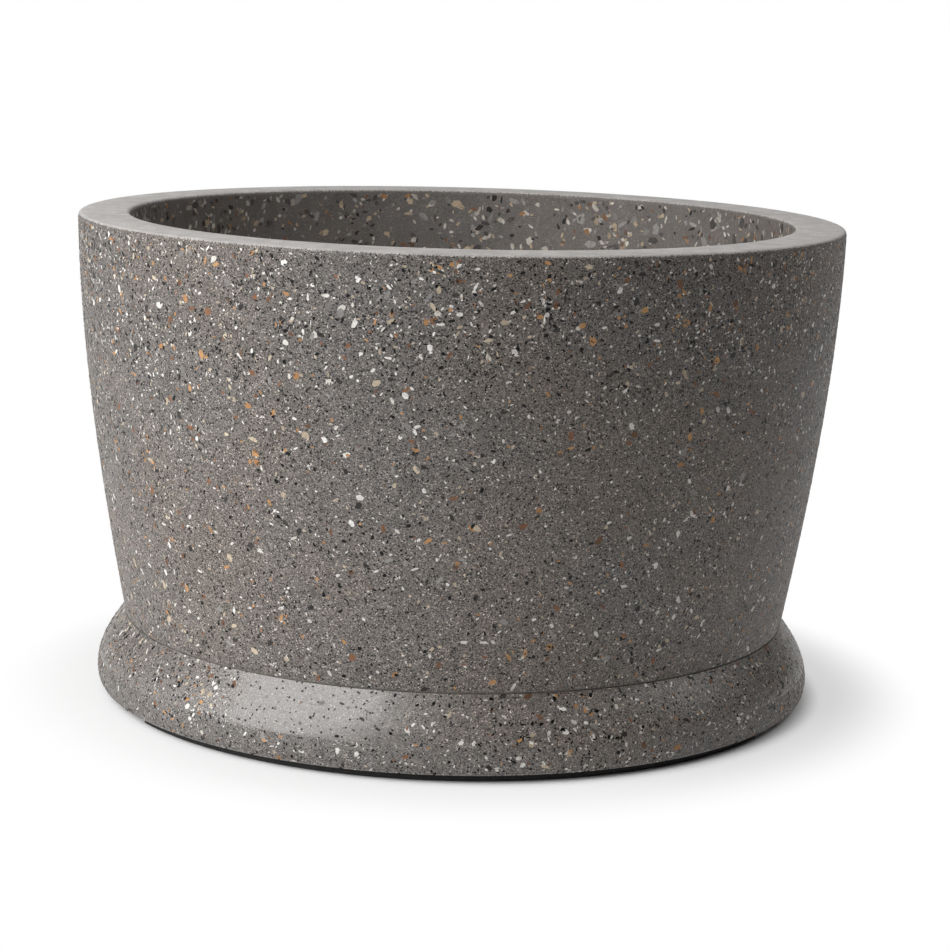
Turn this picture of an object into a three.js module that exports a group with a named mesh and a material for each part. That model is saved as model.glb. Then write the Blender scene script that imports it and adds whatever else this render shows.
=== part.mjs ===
// Concrete bowl planter: a heavy cast bowl bonded to a flared foot ring, on rubber floor pads,
// with a lined drain hole in its floor and a rubber stopper that lifts out by hand.
//
// Millimetres, +Z up. The origin is on the planter's axis, on the surface that it stands on,
// and the photographed front faces -Y.

import * as THREE from 'three';
import { mergeVertices } from 'three/addons/utils/BufferGeometryUtils.js';

// ---------------------------------------------------------------- driving dimensions

// Bowl
const rimDiameter = 500;
const rimWall = 33;
const rimOuterEdge = 3;
const rimInnerEdge = 5;
const bowlHeight = 262;
const creaseDiameter = 440;
const baseWall = 37;
const wallLeanAtCrease = 0.18;
const wallLeanAtRim = 0.015;
const floorThickness = 34;
const floorFall = 3;
const floorCove = 26;

// Heel under the bowl, which centres it in the foot ring
const heelDrop = 10;
const heelClearance = 2.5;
const heelEdge = 3;

// Bonding bed between the castings
const bondThickness = 1.2;
const bondRecess = 0.8;

// Foot ring
const footHeight = 45;
const footDiameter = 476.4;
const footNoseRise = 8;
const footNoseEase = 3.2;
const footUndercut = 1.9;
const footFlareAngle = 35;
const footFlareEase = 14;
const footShoulderEase = 15;
const footLand = 36;
const footBoreDraft = 3;
const footBoreEdge = 2;

// Floor pads
const padCount = 3;
const padThickness = 5;
const padWidth = 34;
const padInset = 5;
const padGapAngle = 7;

// Drain sleeve
const drainBore = 28;
const sleeveWall = 3;
const sleeveFlangeDiameter = 54;
const sleeveFlangeThickness = 3;
const sleeveDrip = 4;
const sleeveClearance = 0.3;

// Drain plug
const plugClearance = 0.3;
const plugTaper = 1.2;
const plugDepth = 24;
const plugFlangeDiameter = 42;
const plugFlangeThickness = 3.5;
const plugStemDiameter = 16;
const plugStemHeight = 7;
const plugKnobDiameter = 21;
const plugKnobHeight = 9;
const plugKnobUnderEdge = 1.5;
const plugKnobCrown = 5;
const plugEdge = 1;

// Roundness of the turned pieces
const castingSides = 72;
const drainSides = 36;
const wallSteps = 14;
const flareSteps = 14;
const coveSteps = 6;
const cornerSteps = 3;
const padSteps = 14;

// ---------------------------------------------------------------- sizes that follow from them

const rimRadius = rimDiameter / 2;
const creaseRadius = creaseDiameter / 2;
const footRadius = footDiameter / 2;
const arrisRadius = footRadius - footUndercut;
const boreRadius = creaseRadius - footLand;

const footBase = padThickness;
const footTop = footBase + footHeight;
const bowlBase = footTop + bondThickness;
const rimTop = bowlBase + bowlHeight;
const heelBase = bowlBase - heelDrop;
const floorTop = bowlBase + floorThickness;
const drainFloor = floorTop - floorFall;

const sleeveRadius = drainBore / 2 + sleeveWall;
const sleeveFlangeRadius = sleeveFlangeDiameter / 2;
const sleeveSeat = drainFloor - sleeveFlangeThickness;
const sleeveBase = heelBase - sleeveDrip;

// ---------------------------------------------------------------- materials

const finish = (color, roughness) => new THREE.MeshStandardMaterial({ color, roughness, metalness: 0 });

const terrazzoConcrete = () => finish(0x66615d, 0.82);
const bondingMortar = () => finish(0x9a958e, 0.95);
const blackRubber = () => finish(0x1b1b1c, 0.7);
const greyPlastic = () => finish(0x4a4d50, 0.5);

// ---------------------------------------------------------------- helpers

const at = (radius, height) => new THREE.Vector2(radius, height);

// Joins points and runs of points into one outline, without the points that two runs share.
function outline(...runs) {
  const apart = 1e-6;
  return runs.flat().filter((point, index, all) => index === 0 || point.distanceTo(all[index - 1]) > apart);
}

// A rounded corner, between the stretch that comes from `before` and the one that goes to `after`.
function rounded(before, corner, after, radius) {
  const start = corner.clone().add(before.clone().sub(corner).setLength(radius));
  const end = corner.clone().add(after.clone().sub(corner).setLength(radius));
  return new THREE.QuadraticBezierCurve(start, corner, end).getPoints(cornerSteps);
}

// The cast wall's curve: it leans out at the bottom and comes up nearly plumb at the rim.
function castWall(lowRadius, lowHeight, highRadius, highHeight) {
  const third = (highHeight - lowHeight) / 3;
  return new THREE.CubicBezierCurve(
    at(lowRadius, lowHeight),
    at(lowRadius + wallLeanAtCrease * third, lowHeight + third),
    at(highRadius - wallLeanAtRim * third, highHeight - third),
    at(highRadius, highHeight),
  );
}

// Turns an outline of (radius, height) points about the planter's axis. One that doesn't start on
// the axis is closed on itself.
function turned(name, points, material, sides) {
  const closed = points[0].x > 0 ? [...points, points[0]] : points;
  const lathe = new THREE.LatheGeometry(closed, sides);
  lathe.deleteAttribute('normal');
  lathe.deleteAttribute('uv');
  const geometry = mergeVertices(lathe);
  geometry.rotateX(Math.PI / 2);
  geometry.computeVertexNormals();
  const mesh = new THREE.Mesh(geometry, material);
  mesh.name = name;
  return mesh;
}

// ---------------------------------------------------------------- castings

function bowlShell() {
  const innerRimRadius = rimRadius - rimWall;
  const innerBaseRadius = creaseRadius - baseWall;
  const heelRadius = boreRadius - heelClearance;
  const seatRadius = sleeveFlangeRadius + sleeveClearance;
  const holeRadius = sleeveRadius + sleeveClearance;

  const rimOutside = at(rimRadius, rimTop);
  const rimInside = at(innerRimRadius, rimTop);

  const outside = castWall(creaseRadius, bowlBase, rimRadius, rimTop - rimOuterEdge);
  const inside = castWall(innerBaseRadius, floorTop, innerRimRadius, rimTop - rimInnerEdge);
  const coveTop = inside.getPoint(floorCove / (rimTop - rimInnerEdge - floorTop));
  const cove = new THREE.QuadraticBezierCurve(
    coveTop,
    at(innerBaseRadius, floorTop),
    at(innerBaseRadius - floorCove, floorTop),
  );

  return turned('bowl_shell', outline(
    outside.getPoints(wallSteps),
    rounded(outside.v3, rimOutside, rimInside, rimOuterEdge),
    rounded(rimOutside, rimInside, inside.v3, rimInnerEdge),
    inside.getPoints(wallSteps).reverse().filter((point) => point.y > coveTop.y),
    cove.getPoints(coveSteps),
    at(seatRadius, drainFloor),
    at(seatRadius, sleeveSeat),
    at(holeRadius, sleeveSeat),
    at(holeRadius, heelBase),
    rounded(at(holeRadius, heelBase), at(heelRadius, heelBase), at(heelRadius, bowlBase), heelEdge),
    at(heelRadius, bowlBase),
  ), terrazzoConcrete(), castingSides);
}

// The flare leaves the crease at a slope and rounds over its shoulder into a plumb nose.
function footRing() {
  const crease = at(creaseRadius, footTop);
  const nose = at(footRadius, footBase + footNoseRise);
  const arris = at(arrisRadius, footBase);
  const boreTop = at(boreRadius, footTop);
  const boreFoot = at(boreRadius + footBoreDraft, footBase);
  const flareAngle = THREE.MathUtils.degToRad(footFlareAngle);

  const underNose = new THREE.QuadraticBezierCurve(
    arris,
    at(footRadius, footBase + footNoseEase),
    nose,
  );
  const flare = new THREE.CubicBezierCurve(
    nose,
    at(nose.x, nose.y + footShoulderEase),
    at(crease.x + footFlareEase * Math.sin(flareAngle), crease.y - footFlareEase * Math.cos(flareAngle)),
    crease,
  );

  return turned('foot_ring', outline(
    underNose.getPoints(cornerSteps),
    flare.getPoints(flareSteps),
    rounded(crease, boreTop, boreFoot, footBoreEdge),
    boreFoot,
  ), terrazzoConcrete(), castingSides);
}

// ---------------------------------------------------------------- joint between the castings

function bondRing() {
  const outer = creaseRadius - bondRecess;
  return turned('bond_ring', [
    at(outer, footTop),
    at(outer, bowlBase),
    at(boreRadius + footBoreEdge, bowlBase),
    at(boreRadius + footBoreEdge, footTop),
  ], bondingMortar(), castingSides);
}

// ---------------------------------------------------------------- floor pads

// Arcs of rubber strip under the foot ring. The gaps between them let drained water out.
function floorPads() {
  const outer = arrisRadius - padInset;
  const inner = outer - padWidth;
  const pitch = (2 * Math.PI) / padCount;
  const sweep = pitch - THREE.MathUtils.degToRad(padGapAngle);
  const pads = [];
  for (let index = 0; index < padCount; index += 1) {
    const middle = -Math.PI / 2 + index * pitch;
    const shape = new THREE.Shape();
    shape.absarc(0, 0, outer, middle - sweep / 2, middle + sweep / 2, false);
    shape.absarc(0, 0, inner, middle + sweep / 2, middle - sweep / 2, true);
    shape.closePath();
    const geometry = new THREE.ExtrudeGeometry(shape, {
      depth: padThickness,
      bevelEnabled: false,
      curveSegments: padSteps,
    });
    const pad = new THREE.Mesh(geometry, blackRubber());
    pad.name = `floor_pad_${index + 1}`;
    pads.push(pad);
  }
  return pads;
}

// ---------------------------------------------------------------- drain

// A flanged tube that lines the drain hole and stands proud below it as a drip edge.
function drainSleeve() {
  const bore = drainBore / 2;
  return turned('drain_sleeve', [
    at(bore, sleeveBase),
    at(sleeveRadius, sleeveBase),
    at(sleeveRadius, sleeveSeat),
    at(sleeveFlangeRadius, sleeveSeat),
    at(sleeveFlangeRadius, drainFloor),
    at(bore, drainFloor),
  ], greyPlastic(), drainSides);
}

// A tapered stopper with a flange that covers the sleeve, and a knob to lift it by.
function drainPlug() {
  const seat = drainFloor + plugClearance;
  const flangeTop = seat + plugFlangeThickness;
  const stemTop = flangeTop + plugStemHeight;
  const knobTop = stemTop + plugKnobHeight;
  const flangeRadius = plugFlangeDiameter / 2;
  const stemRadius = plugStemDiameter / 2;
  const knobRadius = plugKnobDiameter / 2;

  const shank = at(drainBore / 2 - plugClearance, seat);
  const tip = at(shank.x - plugTaper, drainFloor - plugDepth);
  const knobUnder = at(knobRadius, stemTop);
  const knobCrown = at(knobRadius, knobTop);

  return turned('drain_plug', outline(
    at(0, tip.y),
    rounded(at(0, tip.y), tip, shank, plugEdge),
    shank,
    at(flangeRadius, seat),
    rounded(at(flangeRadius, seat), at(flangeRadius, flangeTop), at(stemRadius, flangeTop), plugEdge),
    at(stemRadius, flangeTop),
    at(stemRadius, stemTop),
    rounded(at(stemRadius, stemTop), knobUnder, knobCrown, plugKnobUnderEdge),
    rounded(knobUnder, knobCrown, at(0, knobTop), plugKnobCrown),
    at(0, knobTop),
  ), blackRubber(), drainSides);
}

// ---------------------------------------------------------------- the planter

const planter = new THREE.Group();
planter.add(footRing(), bondRing(), bowlShell(), ...floorPads(), drainSleeve(), drainPlug());

export default planter;
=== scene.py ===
import math

import bmesh
import bpy
from mathutils import Matrix, Vector


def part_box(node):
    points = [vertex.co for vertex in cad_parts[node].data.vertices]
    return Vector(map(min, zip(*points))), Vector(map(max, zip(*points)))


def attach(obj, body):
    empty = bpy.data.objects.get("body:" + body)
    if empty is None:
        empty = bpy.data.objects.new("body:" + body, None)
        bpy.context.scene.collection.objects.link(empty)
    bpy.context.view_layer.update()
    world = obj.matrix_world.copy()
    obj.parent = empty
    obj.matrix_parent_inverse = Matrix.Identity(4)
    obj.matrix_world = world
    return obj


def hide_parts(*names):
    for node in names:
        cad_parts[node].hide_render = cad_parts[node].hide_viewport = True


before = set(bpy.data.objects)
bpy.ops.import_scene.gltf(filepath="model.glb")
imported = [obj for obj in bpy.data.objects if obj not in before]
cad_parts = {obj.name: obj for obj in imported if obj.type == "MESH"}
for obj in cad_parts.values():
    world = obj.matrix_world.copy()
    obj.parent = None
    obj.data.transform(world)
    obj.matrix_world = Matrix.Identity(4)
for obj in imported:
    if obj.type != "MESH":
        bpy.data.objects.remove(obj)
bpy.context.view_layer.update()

# Concrete bowl planter: the finish of its two castings and of what joins, carries and drains them.
#
# Metres, +Z up. The planter's axis is the Z axis, it stands on Z = 0, and its photographed front faces -Y.
# The castings are turned from the construction model's own sizes, only finer, and with a crisper inner edge
# to the rim. The stones that show in the concrete are real pieces, bedded in it one by one.

MM = 0.001

# ---------------------------------------------------------------- sizes taken from the frame

bowl_low, bowl_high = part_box("bowl_shell")
foot_low, foot_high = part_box("foot_ring")
bond_low, bond_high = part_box("bond_ring")
sleeve_low, sleeve_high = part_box("drain_sleeve")
plug_low, plug_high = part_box("drain_plug")
pad_low, pad_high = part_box("floor_pad_1")

# The concrete is honed back a hair inside the frame's sizes, so that the stones that stand proud of it
# come up to them.
HONED_BACK = 0.14 * MM

RIM_RADIUS = bowl_high.x - HONED_BACK
RIM_TOP = bowl_high.z
BOWL_BASE = bond_high.z
HEEL_BASE = bowl_low.z
FOOT_RADIUS = foot_high.x - HONED_BACK
FOOT_TOP = foot_high.z
FOOT_BASE = foot_low.z
DRAIN_FLOOR = sleeve_high.z

# ---------------------------------------------------------------- sizes the frame doesn't give

# Bowl
CREASE_RADIUS = 220 * MM
RIM_WALL = 33 * MM
RIM_OUTER_EDGE = 3 * MM
RIM_INNER_EDGE = 3 * MM
BASE_WALL = 37 * MM
LEAN_AT_CREASE = 0.18
LEAN_AT_RIM = 0.015
FLOOR_FALL = 3 * MM
FLOOR_COVE = 26 * MM
HEEL_EDGE = 3 * MM
HEEL_CLEARANCE = 2.5 * MM

# Foot ring
FOOT_LAND = 36 * MM
NOSE_RISE = 8 * MM
NOSE_EASE = 3.2 * MM
UNDERCUT = 1.9 * MM
FLARE_ANGLE = math.radians(35)
FLARE_EASE = 14 * MM
SHOULDER_EASE = 15 * MM
BORE_DRAFT = 3 * MM
BORE_EDGE = 2 * MM

# The foot's flare is smoother and paler than its nose. One turns into the other between these heights.
POLISH_LOW = 21.4 * MM
POLISH_HIGH = 22.6 * MM

# The bowl's two halves, the smoother stretch of the flare where the key's sheen falls and the rest of the
# flare, each as a start and a sweep.
FRONT_HALF = (-math.pi, math.pi)
BACK_HALF = (0.0, math.pi)
SHEEN_PATCH = (math.radians(-125), math.radians(28))
SHEEN_PATCH_REST = (math.radians(-97), math.radians(332))

# The places on X between which the flare is smoother and its sand and stones are muted, a painted washing-out
# of the sheen that falls there, and how far it takes to fade at each.
SHEEN_PATCH_LEFT = -130 * MM
SHEEN_PATCH_RIGHT = -30 * MM
SHEEN_PATCH_BLUR = 15 * MM

# Floor pads
PAD_COUNT = 3
PAD_INSET = 5 * MM
PAD_WIDTH = 34 * MM
PAD_GAP = math.radians(7)
PAD_EDGE = 0.9 * MM

# Drain
DRAIN_BORE = 14 * MM
SLEEVE_WALL = 3 * MM
SLEEVE_FLANGE = 3 * MM
SLEEVE_EDGE = 0.6 * MM
DRAIN_CLEARANCE = 0.3 * MM

# Fineness of the turned pieces
CASTING_SIDES = 288
WALL_STEPS = 56
FLARE_STEPS = 28
COVE_STEPS = 12
EDGE_STEPS = 6
PAD_SIDES = 96
DRAIN_SIDES = 96

# Points closer than this are one point, and edges that turn by more than this angle stay crisp.
DOUBLED = 1e-7
CRISP_ANGLE = math.radians(32)

# The middle of the bowl's wall, as a radius at Z = 0 and how far it leans out with height.
WALL_MIDDLE_RADIUS = 199 * MM
WALL_MIDDLE_LEAN = 0.1

STONE_COLOUR = "stone_colour"


# ---------------------------------------------------------------- outlines

def at(radius, height):
    return Vector((radius, height))


def along(controls, share):
    """The point at a share of a Bezier curve of any degree."""
    level = list(controls)
    while len(level) > 1:
        level = [a.lerp(b, share) for a, b in zip(level, level[1:])]
    return level[0]


def bezier(controls, steps):
    """Points along a Bezier curve, its ends included."""
    return [along(controls, step / steps) for step in range(steps + 1)]


def rounded(before, corner, after, radius):
    """A rounded corner, between the stretch that comes from `before` and the one that goes to `after`."""
    start = corner + (before - corner).normalized() * radius
    end = corner + (after - corner).normalized() * radius
    return bezier((start, corner, end), EDGE_STEPS)


def joined(*runs):
    """One outline from points and runs of points, without the points that two runs share."""
    points = []
    for run in runs:
        for point in (run if isinstance(run, list) else [run]):
            if not points or (point - points[-1]).length > DOUBLED:
                points.append(point)
    return points


def cast_wall(low, high):
    """The cast wall's curve: it leans out at the bottom and comes up nearly plumb at the rim."""
    third = (high.y - low.y) / 3
    return (
        low,
        at(low.x + LEAN_AT_CREASE * third, low.y + third),
        at(high.x - LEAN_AT_RIM * third, high.y - third),
        high,
    )


# ---------------------------------------------------------------- turned meshes

def shown(name, data):
    """An object in the scene, from its mesh, lamp or camera."""
    made = bpy.data.objects.new(name, data)
    bpy.context.scene.collection.objects.link(made)
    return made


def turned(name, outline, sides=CASTING_SIDES, start=0.0, sweep=math.tau):
    """Turns an outline of (radius, height) points about the planter's axis."""
    whole = math.isclose(sweep, math.tau)
    columns = sides if whole else sides + 1
    vertices = []
    for column in range(columns):
        angle = start + sweep * column / sides
        vertices += [(p.x * math.cos(angle), p.x * math.sin(angle), p.y) for p in outline]
    rows = len(outline)
    faces = []
    for side in range(sides):
        here = side * rows
        there = (side + 1) % columns * rows
        for row in range(rows - 1):
            faces.append((here + row, there + row, there + row + 1, here + row + 1))
    mesh = bpy.data.meshes.new(name)
    mesh.from_pydata(vertices, [], faces)
    mesh.shade_smooth()
    return shown(name, mesh)


def apply_modifiers(piece):
    """Turns the result of a piece's modifiers into its plain mesh."""
    graph = bpy.context.evaluated_depsgraph_get()
    mesh = bpy.data.meshes.new_from_object(piece.evaluated_get(graph), preserve_all_data_layers=True,
                                           depsgraph=graph)
    mesh.name = piece.data.name
    piece.modifiers.clear()
    piece.data = mesh


def closed_body(name, outline, sides=CASTING_SIDES):
    """A turned solid, whose outline closes on itself or has both ends on the axis."""
    if outline[0].x > 0:
        outline = outline + [outline[0]]
    body = turned(name, outline, sides)
    tidy(body.data)
    return body


def tidy(mesh):
    """Merges doubled points, drops faces with no area and keeps corners crisp."""
    work = bmesh.new()
    work.from_mesh(mesh)
    bmesh.ops.remove_doubles(work, verts=work.verts, dist=DOUBLED)
    bmesh.ops.dissolve_degenerate(work, edges=work.edges, dist=DOUBLED / 10)
    work.to_mesh(mesh)
    work.free()
    shade_crisply(mesh)


def shade_crisply(mesh):
    mesh.shade_smooth()
    mesh.set_sharp_from_angle(angle=CRISP_ANGLE)


# ---------------------------------------------------------------- node helpers

def linear(red, green, blue):
    """A colour as it is written on screen, from 0 to 255, in the linear values that shaders take."""
    values = [channel / 255 for channel in (red, green, blue)]
    values = [v / 12.92 if v <= 0.04045 else ((v + 0.055) / 1.055) ** 2.4 for v in values]
    return (*values, 1.0)


WHITE = (1.0, 1.0, 1.0, 1.0)


def fill(tree, socket, value):
    """Links an input to another node's output, or sets it to a plain value."""
    if isinstance(value, bpy.types.NodeSocket):
        tree.links.new(value, socket)
    else:
        socket.default_value = value


def node(tree, kind, inputs=None, **settings):
    """Adds a node, with its settings, and fills the inputs that are in use."""
    made = tree.nodes.new(kind)
    for name, value in settings.items():
        setattr(made, name, value)
    for name, value in (inputs or {}).items():
        fill(tree, next(s for s in made.inputs if s.name == name and s.enabled and not s.is_linked), value)
    return made


def out(made, name=None):
    """A node's output by name, or its first that is in use."""
    return next(s for s in made.outputs if s.enabled and name in (None, s.name))


def maths(tree, operation, first, second=0.0):
    made = tree.nodes.new("ShaderNodeMath")
    made.operation = operation
    for socket, value in zip(made.inputs, (first, second)):
        fill(tree, socket, value)
    return made.outputs[0]


def vector_maths(tree, operation, first, second):
    """What an operation makes of two vectors. To scale, `second` is a number."""
    made = node(tree, "ShaderNodeVectorMath", {"Vector": first}, operation=operation)
    fill(tree, made.inputs["Scale"] if operation == "SCALE" else made.inputs[1], second)
    return out(made)


def blend(tree, share, first, second, mode="MIX"):
    """Mixes two colours."""
    made = node(tree, "ShaderNodeMix", {"Factor": share, "A": first, "B": second},
                data_type="RGBA", blend_type=mode)
    return out(made)


def ramp(tree, value, stops, interpolation="LINEAR"):
    """A grey that follows a value through (place, brightness) stops."""
    made = tree.nodes.new("ShaderNodeValToRGB")
    band = made.color_ramp
    band.interpolation = interpolation
    while len(band.elements) < len(stops):
        band.elements.new(0.5)
    for element, (place, grey) in zip(band.elements, stops):
        element.position = place
        element.color = (grey, grey, grey, 1.0)
    tree.links.new(value, made.inputs[0])
    return made.outputs["Color"]


def between(tree, value, low, high, first=0.0, second=1.0):
    """Rises smoothly from `first` to `second` as a value goes from low to high."""
    made = node(tree, "ShaderNodeMapRange",
                {"Value": value, "From Min": low, "From Max": high, "To Min": first, "To Max": second},
                interpolation_type="SMOOTHSTEP")
    return out(made)


def noise(tree, place, scale, detail=2.0, roughness=0.5):
    return out(node(tree, "ShaderNodeTexNoise",
                    {"Vector": place, "Scale": scale, "Detail": detail, "Roughness": roughness}), "Fac")


def cells(tree, place, scale, feature="F1"):
    """Voronoi cells: the distance to the middle of each, and a random colour for each."""
    made = node(tree, "ShaderNodeTexVoronoi", {"Vector": place, "Scale": scale}, feature=feature)
    return out(made, "Distance"), out(made, "Color")


def channel(tree, colour, index):
    split = node(tree, "ShaderNodeSeparateColor", {"Color": colour})
    return split.outputs[index]


def new_material(name):
    """A material with an empty tree, its object coordinates and its Principled shader."""
    material = bpy.data.materials.new(name)
    material.use_nodes = True
    tree = material.node_tree
    tree.nodes.clear()
    place = out(node(tree, "ShaderNodeTexCoord"), "Object")
    shader = tree.nodes.new("ShaderNodeBsdfPrincipled")
    end = tree.nodes.new("ShaderNodeOutputMaterial")
    tree.links.new(shader.outputs[0], end.inputs["Surface"])
    return material, tree, place, shader


# ---------------------------------------------------------------- concrete

CEMENT = linear(124, 119, 115)
CEMENT_WARM = linear(127, 119, 112)
RIM_CEMENT = linear(202, 198, 195)
RIM_CEMENT_DARK = linear(178, 174, 171)
PORE = linear(20, 18, 17)

# Sand in the cement: grains to a metre, and how much lighter or darker than the cement they are,
# as (share of the grains that are darker, brightness) stops.
COARSE_SAND = 680.0
COARSE_SAND_TONES = [(0.0, 0.08), (0.11, 0.45), (0.22, 0.94), (0.84, 1.15), (0.95, 1.5), (0.985, 3.2)]
FINE_SAND = 1500.0
FINE_SAND_TONES = [(0.0, 0.05), (0.22, 0.36), (0.4, 0.9), (0.7, 1.4), (0.86, 1.95), (0.96, 3.6)]
PORES = 260.0

# How much of the sand shows inside the bowl, above which share of it pores open, and how much of it is muted
# on the foot's smoother patch, a painted washing-out of the sheen that falls there.
INSIDE_SAND = 0.3
PORES_OPEN = 0.32
SHEEN_MUTED_SAND = 0.5

# The cement's tone at the bowl's base and at its rim, against the colours above: paler low down and darker
# high up, painted bounce light from the floor.
BASE_BOUNCE_TONE = 1.14
RIM_BOUNCE_TONE = 0.915

# The foot's nose is darker and matter than its flare, and the patch where the sheen falls is smoother still.
BOWL_ROUGHNESS = 0.62
NOSE_TONE = 0.86
NOSE_ROUGHNESS = 0.65
FLARE_ROUGHNESS = 0.42
SHEEN_PATCH_SMOOTHER = 0.13
FOOT_GLOSS = 1.0

# A painted highlight makes the foot's lower edge pale along its arris. That ends between these heights over
# it.
ARRIS_HIGHLIGHT_LOW = 1.1 * MM
ARRIS_HIGHLIGHT_HIGH = 1.5 * MM
ARRIS_HIGHLIGHT_SHARE = 0.2

STONE_ROUGHNESS = 0.5
STONE_GLOSS = 0.25


def sand(tree, place, scale, stops, reach):
    """A tone for the sand's grains: each keeps one brightness, and the cement shows between them."""
    distance, colour = cells(tree, place, scale)
    tone = ramp(tree, channel(tree, colour, 0), stops, "CONSTANT")
    core = between(tree, distance, reach, reach + 0.12, 1.0, 0.0)
    return blend(tree, core, WHITE, tone)


def sand_shows_outside(tree, place, height):
    """The bowl's inside is as it came from the mould, where the cement still covers most of the sand."""
    flat = vector_maths(tree, "MULTIPLY", place, (1.0, 1.0, 0.0))
    radius = out(node(tree, "ShaderNodeVectorMath", {"Vector": flat}, operation="LENGTH"), "Value")
    wall_middle = maths(tree, "ADD", maths(tree, "MULTIPLY", height, WALL_MIDDLE_LEAN), WALL_MIDDLE_RADIUS)
    return between(tree, maths(tree, "SUBTRACT", radius, wall_middle), -1.0 * MM, 1.0 * MM, INSIDE_SAND, 1.0)


def sheen_patch_share(tree, place, height):
    """1 on the smoother stretch of the flare at the front left, where the sheen falls, and 0 elsewhere."""
    split = node(tree, "ShaderNodeSeparateXYZ", {"Vector": place})
    blur = SHEEN_PATCH_BLUR
    share = between(tree, out(split, "X"), SHEEN_PATCH_LEFT - blur, SHEEN_PATCH_LEFT + blur)
    for value, low, high in ((out(split, "X"), SHEEN_PATCH_RIGHT - blur, SHEEN_PATCH_RIGHT + blur),
                             (out(split, "Y"), -blur, blur)):
        share = maths(tree, "MULTIPLY", share, between(tree, value, low, high, 1.0, 0.0))
    return maths(tree, "MULTIPLY", share, between(tree, height, POLISH_LOW, POLISH_HIGH))


def sand_muted_in_sheen_patch(tree, place, height):
    """Mutes part of the sand where the sheen falls on the flare: a painted washing-out of that sheen."""
    covered = maths(tree, "MULTIPLY", sheen_patch_share(tree, place, height), SHEEN_MUTED_SAND)
    return maths(tree, "SUBTRACT", 1.0, covered)


def concrete(name, relief, sand_shows):
    """Dark honed concrete: mottled cement with salt-and-pepper sand and pores, for a finish to build on."""
    material, tree, place, shader = new_material(name)
    height = out(node(tree, "ShaderNodeSeparateXYZ", {"Vector": place}), "Z")

    patches = noise(tree, place, 11.0, 3.0)
    mottle = noise(tree, place, 85.0, 4.0, 0.6)
    colour = blend(tree, between(tree, patches, 0.35, 0.7), CEMENT, CEMENT_WARM)
    colour = blend(tree, 1.0, colour, ramp(tree, mottle, [(0.3, 0.86), (0.5, 1.0), (0.72, 1.1)]), "MULTIPLY")
    # Painted bounce light from the floor: paler towards the base, darker towards the rim.
    tone = between(tree, height, BOWL_BASE, RIM_TOP, BASE_BOUNCE_TONE, RIM_BOUNCE_TONE)
    colour = vector_maths(tree, "SCALE", colour, tone)

    showing = sand_shows(tree, place, height)
    for scale, tones, reach in ((COARSE_SAND, COARSE_SAND_TONES, 0.3), (FINE_SAND, FINE_SAND_TONES, 0.5)):
        grains = blend(tree, showing, WHITE, sand(tree, place, scale, tones, reach))
        colour = blend(tree, 1.0, colour, grains, "MULTIPLY")

    pore_distance, pore_colour = cells(tree, place, PORES)
    pore = maths(tree, "MULTIPLY", between(tree, pore_distance, 0.15, 0.22, 1.0, 0.0),
                 maths(tree, "GREATER_THAN", channel(tree, pore_colour, 1), 0.46))
    open_pore = maths(tree, "MULTIPLY", pore, maths(tree, "GREATER_THAN", showing, PORES_OPEN))
    colour = blend(tree, open_pore, colour, PORE)

    grit = noise(tree, place, 1400.0, 3.0, 0.6)
    swell = noise(tree, place, 55.0, 2.0)
    level = maths(tree, "ADD", maths(tree, "MULTIPLY", grit, 0.35), maths(tree, "MULTIPLY", swell, 0.8))
    level = maths(tree, "SUBTRACT", level, maths(tree, "MULTIPLY", pore, 1.6))
    bump = node(tree, "ShaderNodeBump", {"Strength": relief, "Distance": 0.25 * MM, "Height": level})
    tree.links.new(out(bump), shader.inputs["Normal"])
    return material, tree, shader, place, height, colour, mottle, pore


def bowl_concrete():
    """The bowl's concrete, with the plain cement skin of its cast rim, which breaks up over the edge."""
    material, tree, shader, place, height, colour, mottle, _ = concrete(
        "bowl_concrete", 0.5, sand_shows_outside)
    ragged = maths(tree, "ADD", height, maths(tree, "MULTIPLY", noise(tree, place, 900.0, 2.0), 3.0 * MM))
    skin = between(tree, ragged, RIM_TOP + 0.2 * MM, RIM_TOP + 0.7 * MM)
    plain = blend(tree, between(tree, mottle, 0.3, 0.75), RIM_CEMENT_DARK, RIM_CEMENT)
    fine = ramp(tree, noise(tree, place, 1300.0, 2.0), [(0.3, 0.72), (0.5, 1.0), (0.7, 1.25)])
    plain = blend(tree, 1.0, plain, fine, "MULTIPLY")
    tree.links.new(blend(tree, skin, colour, plain), shader.inputs["Base Color"])
    shader.inputs["Roughness"].default_value = BOWL_ROUGHNESS
    return material


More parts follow.
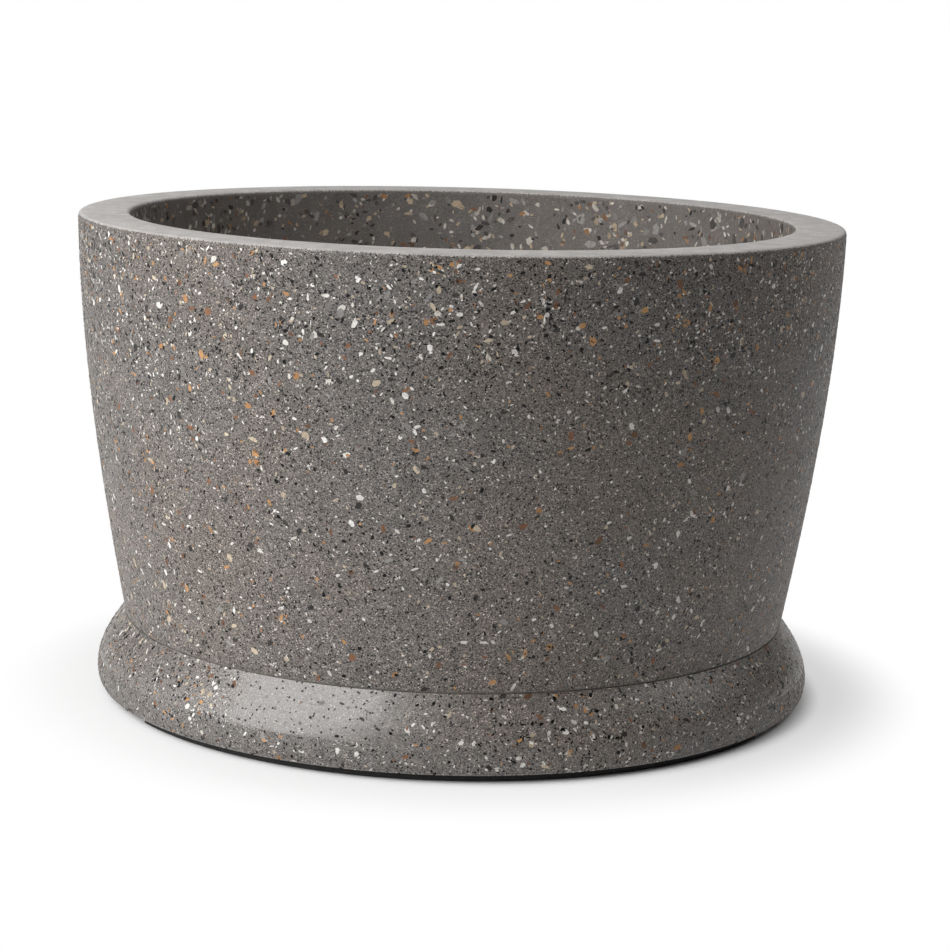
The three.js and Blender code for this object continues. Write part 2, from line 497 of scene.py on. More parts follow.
def foot_concrete():
    """A smoother flare over a darker nose, sand muted where the sheen falls, and a painted highlight on the
    lower edge.
    """
    material, tree, shader, place, height, colour, _, pore = concrete(
        "foot_concrete", 0.15, sand_muted_in_sheen_patch)
    darker = between(tree, height, POLISH_LOW, POLISH_HIGH, NOSE_TONE, 1.0)
    colour = vector_maths(tree, "SCALE", colour, darker)
    # Painted highlight: the lower arris is paled as if it caught the light.
    ragged = maths(tree, "ADD", height, maths(tree, "MULTIPLY", noise(tree, place, 700.0, 2.0), 1.2 * MM))
    arris_highlight = between(tree, ragged, FOOT_BASE + ARRIS_HIGHLIGHT_LOW, FOOT_BASE + ARRIS_HIGHLIGHT_HIGH, ARRIS_HIGHLIGHT_SHARE, 0.0)
    tree.links.new(blend(tree, arris_highlight, colour, RIM_CEMENT), shader.inputs["Base Color"])
    matt = between(tree, height, POLISH_LOW, POLISH_HIGH, NOSE_ROUGHNESS, FLARE_ROUGHNESS)
    smoother = maths(tree, "MULTIPLY", sheen_patch_share(tree, place, height), SHEEN_PATCH_SMOOTHER)
    roughness = maths(tree, "MAXIMUM", maths(tree, "SUBTRACT", matt, smoother), pore)
    tree.links.new(roughness, shader.inputs["Roughness"])
    shader.inputs["Specular IOR Level"].default_value = FOOT_GLOSS
    return material


def stone_finish():
    """Cut stone: its own colour from the piece, with a mineral grain."""
    material, tree, place, shader = new_material("honed_stone")
    own = out(node(tree, "ShaderNodeAttribute", attribute_name=STONE_COLOUR), "Color")
    grain = noise(tree, place, 650.0, 3.0, 0.65)
    colour = blend(tree, 1.0, own, ramp(tree, grain, [(0.3, 0.6), (0.45, 1.0), (0.7, 1.15)]), "MULTIPLY")
    tree.links.new(colour, shader.inputs["Base Color"])
    shader.inputs["Roughness"].default_value = STONE_ROUGHNESS
    shader.inputs["Specular IOR Level"].default_value = STONE_GLOSS
    return material


# ---------------------------------------------------------------- stones in the concrete

# Each kind: stones to a square metre, least and greatest half length, how fast the large ones thin out,
# and the two colours that its stones lie between.
HONED_STONES = {
    "white_marble": (11000, 0.83 * MM, 2.8 * MM, 2.95, linear(252, 250, 246), linear(220, 215, 207)),
    "cream_limestone": (2000, 1.1 * MM, 3.2 * MM, 2.5, linear(220, 205, 180), linear(186, 170, 148)),
    "ochre_quartz": (1700, 1.2 * MM, 3.0 * MM, 2.5, linear(208, 160, 110), linear(178, 132, 88)),
    "rust_stone": (1700, 1.2 * MM, 3.2 * MM, 2.5, linear(148, 105, 77), linear(114, 83, 63)),
    "grey_granite": (2900, 1.1 * MM, 3.4 * MM, 2.3, linear(164, 161, 158), linear(106, 103, 101)),
    "charcoal_slate": (1500, 1.2 * MM, 2.8 * MM, 2.3, linear(74, 71, 69), linear(50, 48, 47)),
    "black_basalt": (20500, 0.74 * MM, 1.8 * MM, 3.2, linear(18, 17, 17), linear(9, 9, 9)),
}

# On the smoother stretch of the flare at the front left the light stones are fewer and dimmer, a painted
# washing-out of the sheen that falls there: little but the dark stones shows in it.
SHEEN_MUTED_STONES = {
    "white_marble": (1800, 0.75 * MM, 1.8 * MM, 3.1, linear(232, 228, 221), linear(190, 185, 177)),
    "cream_limestone": (800, 1.0 * MM, 2.4 * MM, 2.7, linear(194, 182, 164), linear(162, 152, 136)),
    "rust_stone": (350, 1.0 * MM, 2.2 * MM, 2.8, linear(150, 116, 90), linear(120, 92, 74)),
    "grey_granite": (2600, 1.2 * MM, 3.4 * MM, 2.4, linear(152, 149, 146), linear(112, 109, 107)),
    "charcoal_slate": (900, 1.0 * MM, 2.2 * MM, 2.6, linear(76, 73, 71), linear(50, 48, 47)),
    "black_basalt": (14000, 0.65 * MM, 1.5 * MM, 3.4, linear(22, 21, 21), linear(11, 11, 11)),
}

# The inside is not honed, so only the coarser stones show there, and through a film of cement.
WASHED_STONES = {
    "white_marble": (2600, 1.7 * MM, 4.2 * MM, 3.0, linear(222, 216, 206), linear(176, 168, 156)),
    "cream_limestone": (1700, 1.7 * MM, 4.6 * MM, 2.6, linear(200, 182, 156), linear(164, 146, 124)),
    "ochre_quartz": (550, 1.7 * MM, 4.0 * MM, 2.6, linear(184, 140, 96), linear(158, 116, 80)),
    "rust_stone": (550, 1.7 * MM, 4.0 * MM, 2.6, linear(140, 104, 80), linear(112, 86, 68)),
    "grey_granite": (2600, 1.7 * MM, 5.0 * MM, 2.4, linear(170, 166, 162), linear(106, 102, 99)),
    "charcoal_slate": (2000, 1.7 * MM, 5.0 * MM, 2.2, linear(96, 92, 90), linear(74, 71, 69)),
    "black_basalt": (1100, 1.4 * MM, 3.4 * MM, 3.0, linear(64, 62, 60), linear(50, 48, 47)),
}

# A stone's face has one of these numbers of corners. Its width is a share of its length, and each corner is
# then drawn in or out by a share.
STONE_CORNERS = (5, 6, 7)
STONE_WIDTH = (0.26, 0.78)
STONE_RAGGEDNESS = (0.66, 1.15)

# How far the first kind stands proud, how much further each next kind does, by what share that varies from
# stone to stone, and how deep a stone's point lies.
STONE_PROUD = 0.05 * MM
STONE_PROUD_STEP = 0.012 * MM
STONE_PROUD_SHARE = (0.85, 1.15)
STONE_ROOT = 0.9 * MM

# Stones lie closer together near the bowl's rim: from this height, and this many times closer.
CROWDED_LOW = 210 * MM
CROWDED_HIGH = 275 * MM
CROWDED = 2.1


def new_geometry_tree(name, sockets):
    """A Geometry Nodes tree with named inputs, and one geometry output."""
    tree = bpy.data.node_groups.new(name, "GeometryNodeTree")
    for label, kind in sockets.items():
        tree.interface.new_socket(label, in_out="INPUT", socket_type=kind)
    tree.interface.new_socket("Geometry", in_out="OUTPUT", socket_type="NodeSocketGeometry")
    given = tree.nodes.new("NodeGroupInput")
    end = tree.nodes.new("NodeGroupOutput")
    return tree, given.outputs, end.inputs[0]


def uniform(tree, low, high, seed):
    """A random number for each stone or each of its corners."""
    return out(node(tree, "FunctionNodeRandomValue", {"Min": low, "Max": high, "Seed": seed},
                    data_type="FLOAT"))


def held(tree, geometry, domain, data_type, name, value):
    """Keeps a value on the geometry under a name, and gives the geometry back."""
    return out(node(tree, "GeometryNodeStoreNamedAttribute",
                    {"Geometry": geometry, "Name": name, "Value": value}, domain=domain, data_type=data_type))


def recalled(tree, data_type, name):
    kept = node(tree, "GeometryNodeInputNamedAttribute", {"Name": name}, data_type=data_type)
    return out(kept, "Attribute")


def stone_shapes(tree):
    """Wedges with a flat face up and a point below, one for each number of corners."""
    join = tree.nodes.new("GeometryNodeJoinGeometry")
    for corners in STONE_CORNERS:
        wedge = node(tree, "GeometryNodeMeshCone",
                     {"Vertices": corners, "Radius Top": 1.0, "Radius Bottom": 0.0, "Depth": 1.0},
                     fill_type="NGON")
        corner = out(tree.nodes.new("GeometryNodeInputPosition"))
        height = out(node(tree, "ShaderNodeSeparateXYZ", {"Vector": corner}), "Z")
        marked = held(tree, out(wedge, "Mesh"), "POINT", "FLOAT", "level", height)
        as_one = node(tree, "GeometryNodeGeometryToInstance", {"Geometry": marked})
        tree.links.new(out(as_one), join.inputs[0])
    return out(join)


def stone_tree():
    """Beds one kind of stone in a surface: irregular flat faces, a hair proud of the cement."""
    tree, given, end = new_geometry_tree("stones_of_one_kind", {
        "Bed": "NodeSocketGeometry",
        "Stones Per Square Metre": "NodeSocketFloat",
        "Least Half Length": "NodeSocketFloat",
        "Greatest Half Length": "NodeSocketFloat",
        "Thinning": "NodeSocketFloat",
        "First Colour": "NodeSocketColor",
        "Second Colour": "NodeSocketColor",
        "Proud": "NodeSocketFloat",
        "Root": "NodeSocketFloat",
        "Seed": "NodeSocketInt",
    })
    bed = given["Bed"]
    seeds = [maths(tree, "ADD", given["Seed"], step) for step in range(8)]
    position = out(tree.nodes.new("GeometryNodeInputPosition"))

    drift = between(tree, noise(tree, position, 24.0, 2.0), 0.3, 0.7, 0.55, 1.5)
    height = out(node(tree, "ShaderNodeSeparateXYZ", {"Vector": position}), "Z")
    crowding = between(tree, height, CROWDED_LOW, CROWDED_HIGH, 1.0, CROWDED)
    density = maths(tree, "MULTIPLY", drift, crowding)
    density = maths(tree, "MULTIPLY", given["Stones Per Square Metre"], density)
    spots = node(tree, "GeometryNodeDistributePointsOnFaces",
                 {"Mesh": bed, "Density": density, "Seed": seeds[0]}, distribute_method="RANDOM")

    chance = uniform(tree, 0.001, 1.0, seeds[1])
    growth = maths(tree, "POWER", chance, maths(tree, "DIVIDE", -1.0, given["Thinning"]))
    half = maths(tree, "MINIMUM", maths(tree, "MULTIPLY", given["Least Half Length"], growth),
                 given["Greatest Half Length"])
    width = maths(tree, "MULTIPLY", half, uniform(tree, *STONE_WIDTH, seeds[2]))
    size = out(node(tree, "ShaderNodeCombineXYZ", {"X": half, "Y": width, "Z": given["Root"]}))
    spin = node(tree, "FunctionNodeAxisAngleToRotation", {"Angle": uniform(tree, 0.0, math.tau, seeds[3])})
    turn = node(tree, "FunctionNodeRotateRotation",
                {"Rotation": out(spots, "Rotation"), "Rotate By": out(spin)}, rotation_space="LOCAL")
    which = out(node(tree, "FunctionNodeRandomValue",
                     {"Min": 0, "Max": len(STONE_CORNERS) - 1, "Seed": seeds[4]}, data_type="INT"))
    stones = out(node(tree, "GeometryNodeInstanceOnPoints", {
        "Points": out(spots, "Points"), "Instance": stone_shapes(tree), "Pick Instance": True,
        "Instance Index": which, "Rotation": out(turn), "Scale": size,
    }))

    tone = blend(tree, uniform(tree, 0.0, 1.0, seeds[5]), given["First Colour"], given["Second Colour"])
    proud = maths(tree, "MULTIPLY", given["Proud"], uniform(tree, *STONE_PROUD_SHARE, seeds[6]))
    stones = held(tree, stones, "INSTANCE", "FLOAT_COLOR", STONE_COLOUR, tone)
    stones = held(tree, stones, "INSTANCE", "FLOAT_VECTOR", "middle", position)
    stones = held(tree, stones, "INSTANCE", "FLOAT", "proud", proud)
    stones = out(node(tree, "GeometryNodeRealizeInstances", {"Geometry": stones}))

    middle = recalled(tree, "FLOAT_VECTOR", "middle")
    reach = vector_maths(tree, "SUBTRACT", position, middle)
    ragged = vector_maths(tree, "SCALE", reach, uniform(tree, *STONE_RAGGEDNESS, seeds[7]))
    corner = vector_maths(tree, "ADD", middle, ragged)
    nearest = out(node(tree, "GeometryNodeProximity",
                       {"Geometry": bed, "Sample Position": corner}, target_element="FACES"), "Position")
    normal = out(node(tree, "GeometryNodeSampleNearestSurface", {
        "Mesh": bed, "Value": out(tree.nodes.new("GeometryNodeInputNormal")), "Sample Position": corner,
    }, data_type="FLOAT_VECTOR"), "Value")
    level = recalled(tree, "FLOAT", "level")
    lift = maths(tree, "MULTIPLY", level, maths(tree, "ADD", recalled(tree, "FLOAT", "proud"), given["Root"]))
    lift = maths(tree, "SUBTRACT", lift, given["Root"])
    seat = vector_maths(tree, "ADD", nearest, vector_maths(tree, "SCALE", normal, lift))
    stones = out(node(tree, "GeometryNodeSetPosition", {"Geometry": stones, "Position": seat}))
    for name in ("middle", "proud", "level"):
        stones = out(node(tree, "GeometryNodeRemoveAttribute", {"Geometry": stones, "Name": name}))
    tree.links.new(stones, end)
    return tree


def aggregate_tree(name, kind_tree, kinds):
    """All kinds of stone in one surface."""
    tree, given, end = new_geometry_tree(name, {
        "Bed": "NodeSocketGeometry",
        "Crowding": "NodeSocketFloat",
        "Proud": "NodeSocketFloat",
        "Root": "NodeSocketFloat",
        "Seed": "NodeSocketInt",
        "Finish": "NodeSocketMaterial",
    })
    join = tree.nodes.new("GeometryNodeJoinGeometry")
    for order, (number, least, greatest, thinning, first, second) in enumerate(kinds.values()):
        kind = tree.nodes.new("GeometryNodeGroup")
        kind.node_tree = kind_tree
        values = {"Least Half Length": least, "Greatest Half Length": greatest, "Thinning": thinning,
                  "First Colour": first, "Second Colour": second}
        for label, value in values.items():
            kind.inputs[label].default_value = value
        number = maths(tree, "MULTIPLY", given["Crowding"], number)
        tree.links.new(number, kind.inputs["Stones Per Square Metre"])
        tree.links.new(given["Bed"], kind.inputs["Bed"])
        tree.links.new(given["Root"], kind.inputs["Root"])
        proud = maths(tree, "ADD", given["Proud"], order * STONE_PROUD_STEP)
        tree.links.new(proud, kind.inputs["Proud"])
        tree.links.new(maths(tree, "ADD", given["Seed"], 20 * order), kind.inputs["Seed"])
        tree.links.new(kind.outputs[0], join.inputs[0])
    real = node(tree, "GeometryNodeRealizeInstances", {"Geometry": out(join)})
    ended = node(tree, "GeometryNodeSetMaterial", {"Geometry": out(real), "Material": given["Finish"]})
    tree.links.new(out(ended), end)
    return tree


def bedded_stones(name, outline, tree, seed, finish, crowding=1.0, stretch=(0.0, math.tau)):
    """The stones that show in one stretch of a casting's surface, as one plain mesh."""
    piece = turned(name, outline, CASTING_SIDES, *stretch)
    modifier = piece.modifiers.new("aggregate", "NODES")
    modifier.node_group = tree
    values = {"Crowding": crowding, "Proud": STONE_PROUD, "Root": STONE_ROOT, "Seed": seed, "Finish": finish}
    for item in tree.interface.items_tree:
        if item.name in values:
            modifier[item.identifier] = values[item.name]
    apply_modifiers(piece)
    piece.data.shade_flat()
    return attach(piece, "planter")


# ---------------------------------------------------------------- castings

RIM_INSIDE = RIM_RADIUS - RIM_WALL
BORE_RADIUS = CREASE_RADIUS - FOOT_LAND
FLOOR_TOP = DRAIN_FLOOR + FLOOR_FALL


def bowl_outside():
    crease = at(CREASE_RADIUS, BOWL_BASE)
    return bezier(cast_wall(crease, at(RIM_RADIUS, RIM_TOP - RIM_OUTER_EDGE)), WALL_STEPS)


def bowl_inside():
    """The inner wall from the rim down, the cove at its foot, and the floor that falls to the drain."""
    low = at(CREASE_RADIUS - BASE_WALL, FLOOR_TOP)
    high = at(RIM_INSIDE, RIM_TOP - RIM_INNER_EDGE)
    curve = cast_wall(low, high)
    share = FLOOR_COVE / (high.y - low.y)
    cove_top = along(curve, share)
    wall = [p for p in reversed(bezier(curve, WALL_STEPS)) if p.y > cove_top.y]
    cove = bezier((cove_top, low, at(low.x - FLOOR_COVE, FLOOR_TOP)), COVE_STEPS)
    return joined(wall, cove, at(sleeve_high.x + DRAIN_CLEARANCE, DRAIN_FLOOR))


def bowl(finish):
    outside = bowl_outside()
    inside = bowl_inside()
    rim_outside = at(RIM_RADIUS, RIM_TOP)
    rim_inside = at(RIM_INSIDE, RIM_TOP)
    heel_radius = BORE_RADIUS - HEEL_CLEARANCE
    hole_radius = DRAIN_BORE + SLEEVE_WALL + DRAIN_CLEARANCE
    seat = DRAIN_FLOOR - SLEEVE_FLANGE
    seat_radius = sleeve_high.x + DRAIN_CLEARANCE
    heel = at(heel_radius, HEEL_BASE)
    hole = at(hole_radius, HEEL_BASE)
    body = closed_body("bowl", joined(
        outside,
        rounded(outside[-1], rim_outside, rim_inside, RIM_OUTER_EDGE),
        rounded(rim_outside, rim_inside, inside[0], RIM_INNER_EDGE),
        inside,
        at(seat_radius, seat),
        at(hole_radius, seat),
        hole,
        rounded(hole, heel, at(heel_radius, BOWL_BASE), HEEL_EDGE),
        at(heel_radius, BOWL_BASE),
    ))
    body.data.materials.append(finish)
    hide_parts("bowl_shell")
    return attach(body, "planter")


def foot_face():
    """The foot ring's face, from its lower arris over the plumb nose and up the flare to the crease."""
    arris = at(FOOT_RADIUS - UNDERCUT, FOOT_BASE)
    nose = at(FOOT_RADIUS, FOOT_BASE + NOSE_RISE)
    crease = at(CREASE_RADIUS, FOOT_TOP)
    under = bezier((arris, at(FOOT_RADIUS, FOOT_BASE + NOSE_EASE), nose), EDGE_STEPS)
    shoulder = at(nose.x, nose.y + SHOULDER_EASE)
    lift = crease + at(FLARE_EASE * math.sin(FLARE_ANGLE), -FLARE_EASE * math.cos(FLARE_ANGLE))
    return joined(under, bezier((nose, shoulder, lift, crease), FLARE_STEPS))


def foot_stretches():
    """The foot's face as two outlines: its nose, and its flare from where the smoother surface starts."""
    face = foot_face()
    nose = [p for p in face if p.y <= POLISH_HIGH]
    return nose, [p for p in face if p.y >= nose[-1].y]


def foot(finish):
    face = foot_face()
    bore_top = at(BORE_RADIUS, FOOT_TOP)
    bore_foot = at(BORE_RADIUS + BORE_DRAFT, FOOT_BASE)
    body = closed_body("foot", joined(face, rounded(face[-1], bore_top, bore_foot, BORE_EDGE), bore_foot))
    body.data.materials.append(finish)
    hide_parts("foot_ring")
    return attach(body, "planter")


# ---------------------------------------------------------------- mortar, pads and drain

def mortar():
    material, tree, place, shader = new_material("bonding_mortar")
    grain = noise(tree, place, 520.0, 3.0, 0.7)
    tree.links.new(blend(tree, between(tree, grain, 0.3, 0.7), linear(122, 118, 112), linear(158, 153, 146)),
                   shader.inputs["Base Color"])
    shader.inputs["Roughness"].default_value = 0.9
    return material


def mortar_bed(finish):
    edge = 0.3 * MM
    outer = bond_high.x
    inner = BORE_RADIUS + BORE_EDGE
    top_outer, low_outer = at(outer, bond_high.z), at(outer, bond_low.z)
    body = closed_body("mortar_bed", joined(
        rounded(at(inner, bond_low.z), low_outer, top_outer, edge),
        rounded(low_outer, top_outer, at(inner, bond_high.z), edge),
        at(inner, bond_high.z),
        at(inner, bond_low.z),
    ))
    body.data.materials.append(finish)
    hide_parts("bond_ring")
    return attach(body, "planter")


def rubber(name, colour, roughness):
    material, tree, place, shader = new_material(name)
    dust = noise(tree, place, 260.0, 3.0, 0.6)
    tree.links.new(blend(tree, between(tree, dust, 0.45, 0.8, 0.0, 0.5), colour, linear(62, 60, 58)),
                   shader.inputs["Base Color"])
    shader.inputs["Roughness"].default_value = roughness
    grain = noise(tree, place, 1800.0, 2.0)
    bump = node(tree, "ShaderNodeBump", {"Strength": 0.3, "Distance": 0.1 * MM, "Height": grain})
    tree.links.new(out(bump), shader.inputs["Normal"])
    return material


def floor_pads(finish):
    outer = foot_high.x - UNDERCUT - PAD_INSET
    inner = outer - PAD_WIDTH
    corners = [at(outer, pad_low.z), at(outer, pad_high.z), at(inner, pad_high.z), at(inner, pad_low.z)]
    pitch = math.tau / PAD_COUNT
    for index in range(PAD_COUNT):
        node_name = f"floor_pad_{index + 1}"
        sweep = pitch - PAD_GAP
        start = -math.pi / 2 + index * pitch - sweep / 2
        pad = turned(f"pad_{index + 1}", corners + corners[:1], PAD_SIDES, start, sweep)
        close_ends(pad.data, len(corners) + 1, PAD_SIDES)
        bevel = pad.modifiers.new("edge", "BEVEL")
        bevel.width = PAD_EDGE
        bevel.segments = 3
        bevel.limit_method = "ANGLE"
        bevel.angle_limit = math.radians(40)
        apply_modifiers(pad)
        pad.data.materials.append(finish)
        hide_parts(node_name)
        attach(pad, "planter")


def close_ends(mesh, rows, sides):
    """Caps both ends of an arc that was turned from a closed outline of `rows` points."""
    work = bmesh.new()
    work.from_mesh(mesh)
    work.verts.ensure_lookup_table()
    last = sides * rows
    work.faces.new([work.verts[row] for row in range(rows - 1)])
    work.faces.new([work.verts[last + row] for row in reversed(range(rows - 1))])
    bmesh.ops.remove_doubles(work, verts=work.verts, dist=DOUBLED)
    bmesh.ops.recalc_face_normals(work, faces=work.faces)
    work.to_mesh(mesh)
    work.free()
    shade_crisply(mesh)


def moulded_plastic():
    material, tree, place, shader = new_material("grey_plastic")
    haze = noise(tree, place, 140.0, 3.0)
    tree.links.new(blend(tree, between(tree, haze, 0.3, 0.75), linear(72, 75, 78), linear(84, 86, 88)),
                   shader.inputs["Base Color"])
    shader.inputs["Roughness"].default_value = 0.45
    return material


def drain_sleeve(finish):
    tube = DRAIN_BORE + SLEEVE_WALL
    flange = sleeve_high.x
    seat = DRAIN_FLOOR - SLEEVE_FLANGE
    top_inside, top_outside = at(DRAIN_BORE, DRAIN_FLOOR), at(flange, DRAIN_FLOOR)
    low_inside, low_outside = at(DRAIN_BORE, sleeve_low.z), at(tube, sleeve_low.z)
    body = closed_body("sleeve", joined(
        rounded(top_inside, low_inside, low_outside, SLEEVE_EDGE),
        rounded(low_inside, low_outside, at(tube, seat), SLEEVE_EDGE),
        at(tube, seat),
        at(flange, seat),
        rounded(at(flange, seat), top_outside, top_inside, SLEEVE_EDGE),
        rounded(top_outside, top_inside, low_inside, SLEEVE_EDGE),
    ), DRAIN_SIDES)
    body.data.materials.append(finish)
    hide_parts("drain_sleeve")
    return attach(body, "planter")


PLUG_FLANGE = 3.5 * MM
PLUG_STEM_RADIUS = 8 * MM
PLUG_STEM = 7 * MM
PLUG_KNOB_RADIUS = 10.5 * MM
PLUG_TAPER = 1.2 * MM
PLUG_KNOB_UNDER_EDGE = 1.5 * MM
PLUG_KNOB_CROWN = 5 * MM
PLUG_EDGE = 1 * MM


def drain_plug(finish):
    seat = DRAIN_FLOOR + DRAIN_CLEARANCE
    flange_top = seat + PLUG_FLANGE
    stem_top = flange_top + PLUG_STEM
    shank = at(DRAIN_BORE - DRAIN_CLEARANCE, seat)
    tip = at(shank.x - PLUG_TAPER, plug_low.z)
    flange = at(plug_high.x, flange_top)
    stem_low, stem_high = at(PLUG_STEM_RADIUS, flange_top), at(PLUG_STEM_RADIUS, stem_top)
    knob_under, knob_crown = at(PLUG_KNOB_RADIUS, stem_top), at(PLUG_KNOB_RADIUS, plug_high.z)
    body = closed_body("plug", joined(
        at(0, plug_low.z),
        rounded(at(0, plug_low.z), tip, shank, PLUG_EDGE),
        shank,
        at(plug_high.x, seat),
        rounded(at(plug_high.x, seat), flange, stem_low, PLUG_EDGE),
        rounded(flange, stem_low, stem_high, PLUG_EDGE),
        rounded(stem_low, stem_high, knob_under, PLUG_EDGE),
        rounded(stem_high, knob_under, knob_crown, PLUG_KNOB_UNDER_EDGE),
        rounded(knob_under, knob_crown, at(0, plug_high.z), PLUG_KNOB_CROWN),
        at(0, plug_high.z),
    ), DRAIN_SIDES)
    body.data.materials.append(finish)
    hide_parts("drain_plug")
    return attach(body, "drain_plug")


# ---------------------------------------------------------------- studio

AIM = Vector((0.0, 0.0, 0.15))


def direction(azimuth, elevation):
    """A direction out from the planter. Azimuth is in degrees from the front, positive to the right."""
    around, up = math.radians(azimuth), math.radians(elevation)
    return Vector((math.sin(around) * math.cos(up), -math.cos(around) * math.cos(up), math.sin(up)))


def softbox(name, azimuth, elevation, distance, width, height, radiance):
    """An area lamp aimed at the planter."""
    lamp = bpy.data.lights.new(name, "AREA")
    lamp.shape = "RECTANGLE"
    lamp.size, lamp.size_y = width, height
    lamp.energy = radiance * math.pi * width * height
    box = shown(name, lamp)
    box.location = AIM + direction(azimuth, elevation) * distance
    box.rotation_euler = (AIM - box.location).to_track_quat("-Z", "Y").to_euler()
    box.visible_camera = False


# Each softbox: its azimuth, elevation and distance, its width and height, and its radiance.
SOFTBOXES = {
    "key_softbox": (-60, 32, 1.7, 1.4, 1.85, 3.5),
    "front_softbox": (-30, 32, 1.7, 0.3, 1.5, 2.3),
    "top_softbox": (-20, 80, 1.7, 0.9, 0.9, 1.3),
    "low_softbox": (-92, 4, 1.4, 1.0, 0.5, 0.8),
    "back_softbox_left": (-150, 30, 1.7, 0.8, 0.8, 1.2),
    "back_softbox_right": (150, 30, 1.7, 0.8, 0.8, 0.8),
    "edge_softbox": (100, 42, 1.7, 0.9, 0.9, 2.3),
}


def studio_lights():
    """A large softbox to the left, small ones in front, above and low down, and three for the edges."""
    for name, settings in SOFTBOXES.items():
        softbox(name, *settings)


def seen_directly(tree):
    """1 where the camera, a gloss reflection or a clear surface shows the studio, and 0 for its light."""
    path = tree.nodes.new("ShaderNodeLightPath")
    rays = [path.outputs[f"Is {kind} Ray"] for kind in ("Camera", "Glossy", "Transmission")]
    return maths(tree, "MAXIMUM", maths(tree, "MAXIMUM", rays[0], rays[1]), rays[2])


AMBIENT = 0.004


def studio_world():
    """A white sweep behind the planter. Gloss sees it there, and the dim room in front of it."""
    world = bpy.data.worlds.new("studio")
    bpy.context.scene.world = world
    world.use_nodes = True
    tree = world.node_tree
    tree.nodes.clear()
    path = tree.nodes.new("ShaderNodeLightPath")
    around = out(node(tree, "ShaderNodeTexCoord"), "Generated")
    around = node(tree, "ShaderNodeSeparateXYZ", {"Vector": around})
    sweep = maths(tree, "MULTIPLY", between(tree, out(around, "Y"), 0.75, 0.98),
                  between(tree, out(around, "Z"), 0.25, 0.7, 1.0, 0.1))
    plain = maths(tree, "MAXIMUM", path.outputs["Is Camera Ray"], path.outputs["Is Transmission Ray"])
    seen = maths(tree, "MAXIMUM", plain, maths(tree, "MULTIPLY", path.outputs["Is Glossy Ray"], sweep))
    strength = maths(tree, "ADD", AMBIENT, maths(tree, "MULTIPLY", seen, 1.0 - AMBIENT))
    back = node(tree, "ShaderNodeBackground", {"Color": WHITE, "Strength": strength})
    end = tree.nodes.new("ShaderNodeOutputWorld")
    tree.links.new(out(back), end.inputs["Surface"])


FLOOR = (0.77, 0.77, 0.77, 1.0)
FLOOR_RADIUS = 9.0
FLOOR_GAP = 0.3 * MM

# Distances at which the floor is in full shade, begins to clear and is plain white, from a point a little
# to the right of the planter's axis, because the shade falls that way.
FLOOR_SHADE = (0.005, 0.0, 0.0)
FLOOR_CONTACT = 0.228
FLOOR_NEAR = 0.246
FLOOR_PLAIN = 0.315

# How far it has cleared at the second of them.
FLOOR_CLEARED_NEAR = 0.54


def studio_floor():
    """A pale floor that keeps the planter's shadow near it and runs out into plain white."""
    bpy.ops.mesh.primitive_circle_add(vertices=96, radius=FLOOR_RADIUS, fill_type="NGON",
                                      location=(0.0, 0.0, -FLOOR_GAP))
    floor = bpy.context.object
    floor.name = "studio_floor"
    material = bpy.data.materials.new("studio_floor")
    material.use_nodes = True
    tree = material.node_tree
    tree.nodes.clear()
    place = out(node(tree, "ShaderNodeTexCoord"), "Object")
    seen = seen_directly(tree)
    near = node(tree, "ShaderNodeBsdfDiffuse", {"Color": blend(tree, seen, FLOOR, WHITE)})
    far = node(tree, "ShaderNodeEmission", {"Strength": 1.0})
    away = vector_maths(tree, "DISTANCE", place, FLOOR_SHADE)
    share = maths(tree, "ADD", between(tree, away, FLOOR_CONTACT, FLOOR_NEAR, 0.0, FLOOR_CLEARED_NEAR),
                  between(tree, away, FLOOR_NEAR, FLOOR_PLAIN, 0.0, 1.0 - FLOOR_CLEARED_NEAR))
    mixed = node(tree, "ShaderNodeMixShader")
    tree.links.new(maths(tree, "MULTIPLY", share, seen), mixed.inputs[0])
    tree.links.new(out(near), mixed.inputs[1])
    tree.links.new(out(far), mixed.inputs[2])
    end = tree.nodes.new("ShaderNodeOutputMaterial")
    tree.links.new(out(mixed), end.inputs["Surface"])
    floor.data.materials.append(material)


CAMERA_PLACE = Vector((0.0, -1.6460, 0.4557))
CAMERA_LENS = 94.74
CAMERA_SENSOR = 36.0
CAMERA_PITCH = math.radians(10.86)
CAMERA_YAW = math.radians(0.43)
CAMERA_ROLL = math.radians(1.52)


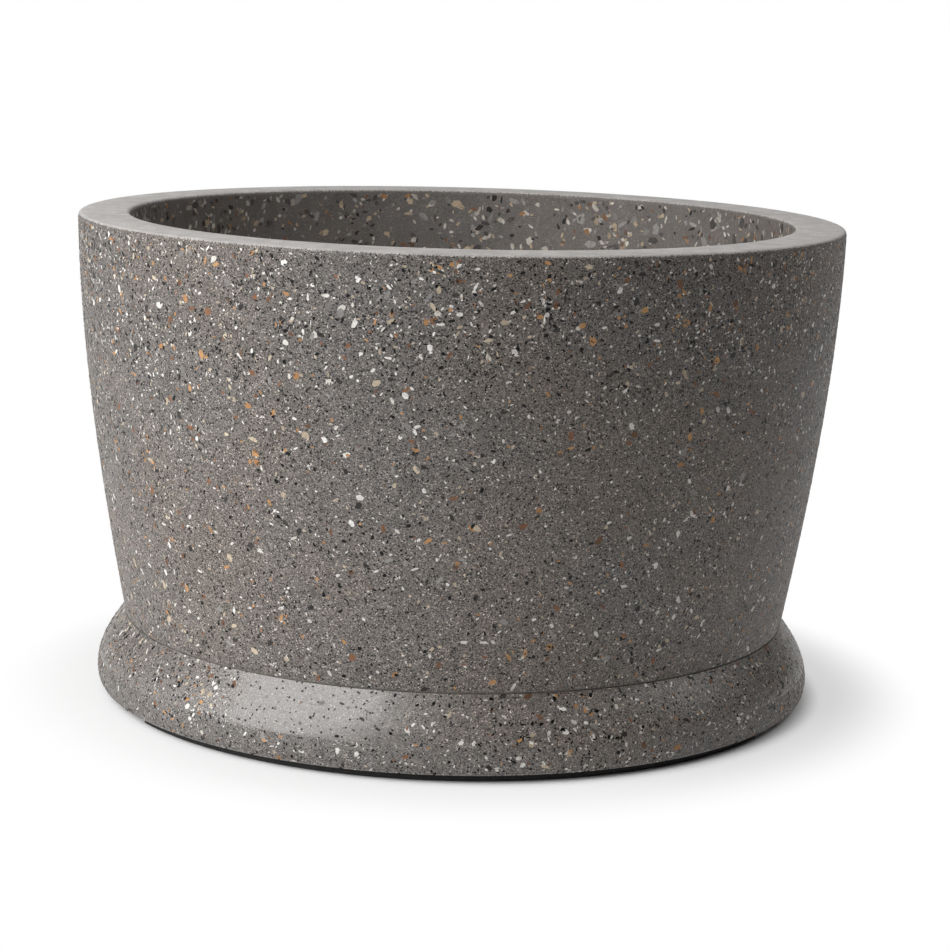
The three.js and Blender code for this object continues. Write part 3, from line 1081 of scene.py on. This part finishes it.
def camera():
    data = bpy.data.cameras.new("camera")
    data.lens = CAMERA_LENS
    data.sensor_width = CAMERA_SENSOR
    eye = shown("camera", data)
    level_right = Vector((math.cos(CAMERA_YAW), -math.sin(CAMERA_YAW), 0.0))
    forward = Vector((math.sin(CAMERA_YAW) * math.cos(CAMERA_PITCH),
                      math.cos(CAMERA_YAW) * math.cos(CAMERA_PITCH), -math.sin(CAMERA_PITCH)))
    level_up = level_right.cross(forward)
    right = level_right * math.cos(CAMERA_ROLL) + level_up * math.sin(CAMERA_ROLL)
    up = level_up * math.cos(CAMERA_ROLL) - level_right * math.sin(CAMERA_ROLL)
    turn = Matrix((right, up, -forward)).transposed().to_4x4()
    eye.matrix_world = Matrix.Translation(CAMERA_PLACE) @ turn
    bpy.context.scene.camera = eye


# ---------------------------------------------------------------- the planter in its studio

bpy.context.scene.view_settings.view_transform = "Standard"
camera()
studio_world()
studio_floor()
studio_lights()

bowl(bowl_concrete())
foot(foot_concrete())
one_kind = stone_tree()
honed = aggregate_tree("honed_stones", one_kind, HONED_STONES)
washed = aggregate_tree("washed_stones", one_kind, WASHED_STONES)
sheen_muted = aggregate_tree("sheen_muted_stones", one_kind, SHEEN_MUTED_STONES)
honed_stone = stone_finish()
bedded_stones("bowl_stones_front", bowl_outside(), honed, 11, honed_stone, 1.0, FRONT_HALF)
bedded_stones("bowl_stones_back", bowl_outside(), honed, 1011, honed_stone, 1.0, BACK_HALF)
bedded_stones("bowl_stones_inside", bowl_inside(), washed, 211, honed_stone, 1.4)
nose, flare = foot_stretches()
bedded_stones("foot_stones_nose", nose, honed, 411, honed_stone, 1.5)
bedded_stones("foot_stones_flare", flare, honed, 611, honed_stone, 1.5, SHEEN_PATCH_REST)
# Fewer, dimmer light stones where the sheen falls: a painted washing-out of that sheen.
bedded_stones("foot_stones_sheen_patch", flare, sheen_muted, 811, honed_stone, 1.0, SHEEN_PATCH)
mortar_bed(mortar())
floor_pads(rubber("pad_rubber", linear(27, 27, 28), 0.75))
drain_sleeve(moulded_plastic())
drain_plug(rubber("plug_rubber", linear(30, 30, 31), 0.6))
